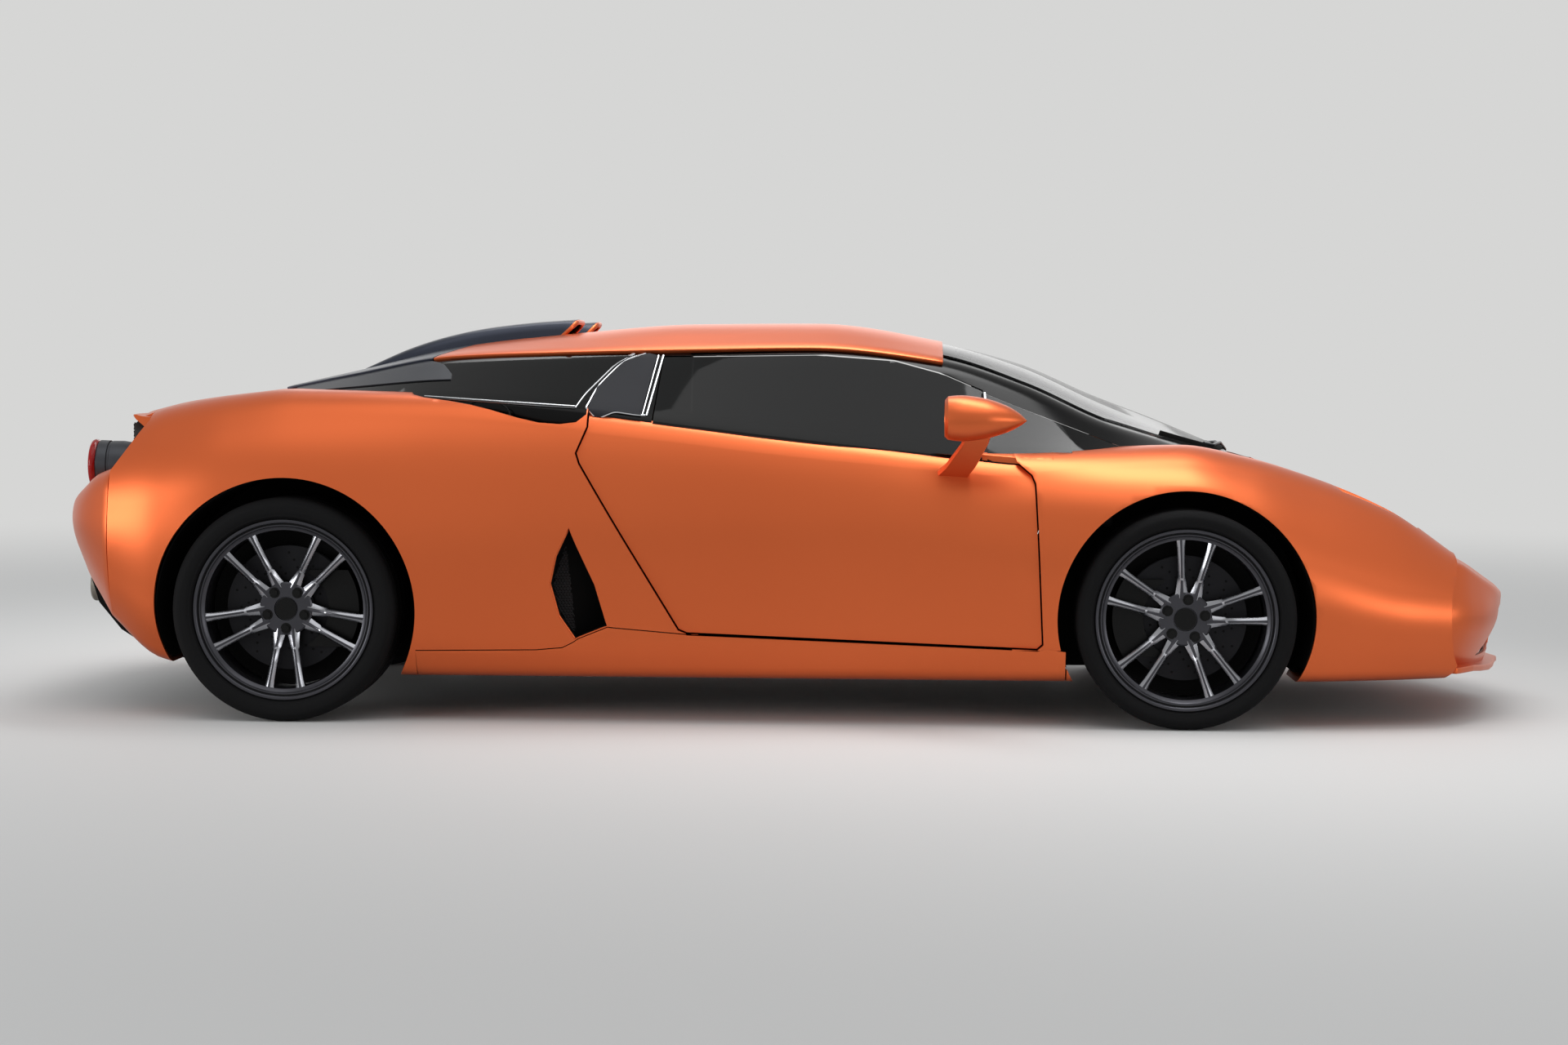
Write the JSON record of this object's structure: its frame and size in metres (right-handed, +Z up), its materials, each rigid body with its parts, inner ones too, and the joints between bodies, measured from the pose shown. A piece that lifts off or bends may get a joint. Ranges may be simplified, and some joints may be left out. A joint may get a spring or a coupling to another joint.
{
  "type": "supercar",
  "caption": "Low mid-engined supercar in satin orange, with hinged doors, front lid and engine cover, and steered front wheels.",
  "frame": {"origin": "on the ground, under the middle of the box round the whole car", "axes": "+X forward, +Y to the car's left, +Z up"},
  "size_m": [4.338, 2.152, 1.151],
  "materials": {
    "paint": "satin",
    "dark_paint": "satin",
    "structure": "matte",
    "black_trim": "gloss",
    "mesh": "matte",
    "liner": "matte",
    "glass": "gloss",
    "lamp_glass": "gloss",
    "tail_lamp": "gloss",
    "steel": "satin",
    "cast": "matte",
    "leather": "satin",
    "wheel_leather": "satin",
    "dash_trim": "matte",
    "tyre": "matte",
    "rim": "satin"
  },
  "bodies": {
    "chassis": {"floor_pan": "structure", "front_fascia": "paint", "grilles": "mesh", "front_fender_left": "paint", "front_fender_right": "paint", "rear_quarter_left": "paint", "rear_quarter_right": "paint", "rear_fascia": "paint", "side_sills": "paint", "roof_panel": "paint", "roof_scoops": "dark_paint", "cabin_frame": "black_trim", "windscreen": "glass", "fixed_windows": "glass", "rear_deck": "paint", "head_lamps": "lamp_glass", "tail_lamps": "tail_lamp", "exhaust_tips": "steel", "seats": "leather", "dashboard": "dash_trim", "steering_wheel": "wheel_leather", "wheel_liners": "liner", "suspension_arms": "structure", "engine_block": "cast", "luggage_tub": "liner", "rear_uprights": "cast", "bulkheads": "structure", "slam_panel": "paint"},
    "front_lid": {"front_lid": "paint"},
    "engine_cover": {"engine_cover": "dark_paint"},
    "door_left": {"door_left": "paint", "door_glass_left": "glass", "mirror_left": "paint"},
    "door_right": {"door_right": "paint", "door_glass_right": "glass", "mirror_right": "paint"},
    "knuckle_left": {"knuckle_left": "cast"},
    "knuckle_right": {"knuckle_right": "cast"},
    "wheel_front_left": {"tyre_front_left": "tyre", "rim_front_left": "rim"},
    "wheel_front_right": {"tyre_front_right": "tyre", "rim_front_right": "rim"},
    "wheel_rear_left": {"tyre_rear_left": "tyre", "rim_rear_left": "rim"},
    "wheel_rear_right": {"tyre_rear_right": "tyre", "rim_rear_right": "rim"}
  },
  "joints": [
    {"name": "steer_left", "type": "hinge", "parent": "chassis", "child": "knuckle_left", "pos_m": [1.12, 0.766, 0.312], "axis": [0, 0, 1], "range_deg": [-26, 26]},
    {"name": "steer_right", "type": "hinge", "parent": "chassis", "child": "knuckle_right", "pos_m": [1.12, -0.766, 0.312], "axis": [0, 0, 1], "range_deg": [-26, 26]},
    {"name": "spin_front_left", "type": "hinge", "parent": "knuckle_left", "child": "wheel_front_left", "pos_m": [1.12, 0.811, 0.312], "axis": [0, 1, 0], "continuous": true},
    {"name": "spin_front_right", "type": "hinge", "parent": "knuckle_right", "child": "wheel_front_right", "pos_m": [1.12, -0.811, 0.312], "axis": [0, 1, 0], "continuous": true},
    {"name": "spin_rear_left", "type": "hinge", "parent": "chassis", "child": "wheel_rear_left", "pos_m": [-1.44, 0.796, 0.32], "axis": [0, 1, 0], "continuous": true},
    {"name": "spin_rear_right", "type": "hinge", "parent": "chassis", "child": "wheel_rear_right", "pos_m": [-1.44, -0.796, 0.32], "axis": [0, 1, 0], "continuous": true},
    {"name": "door_left_hinge", "type": "hinge", "parent": "chassis", "child": "door_left", "pos_m": [0.721, 0.936, 0.45], "axis": [0, 0, -1], "range_deg": [0, 65]},
    {"name": "door_right_hinge", "type": "hinge", "parent": "chassis", "child": "door_right", "pos_m": [0.721, -0.936, 0.45], "axis": [0, 0, 1], "range_deg": [0, 65]},
    {"name": "front_lid_hinge", "type": "hinge", "parent": "chassis", "child": "front_lid", "pos_m": [1.34, 0, 0.745], "axis": [0, -1, 0], "range_deg": [0, 55]},
    {"name": "engine_cover_hinge", "type": "hinge", "parent": "chassis", "child": "engine_cover", "pos_m": [-0.7175, 0, 1.096], "axis": [0, 1, 0], "range_deg": [0, 45]}
  ],
  "couplings": [
    {"joint": "steer_right", "follows": "steer_left", "ratio": 1}
  ]
}
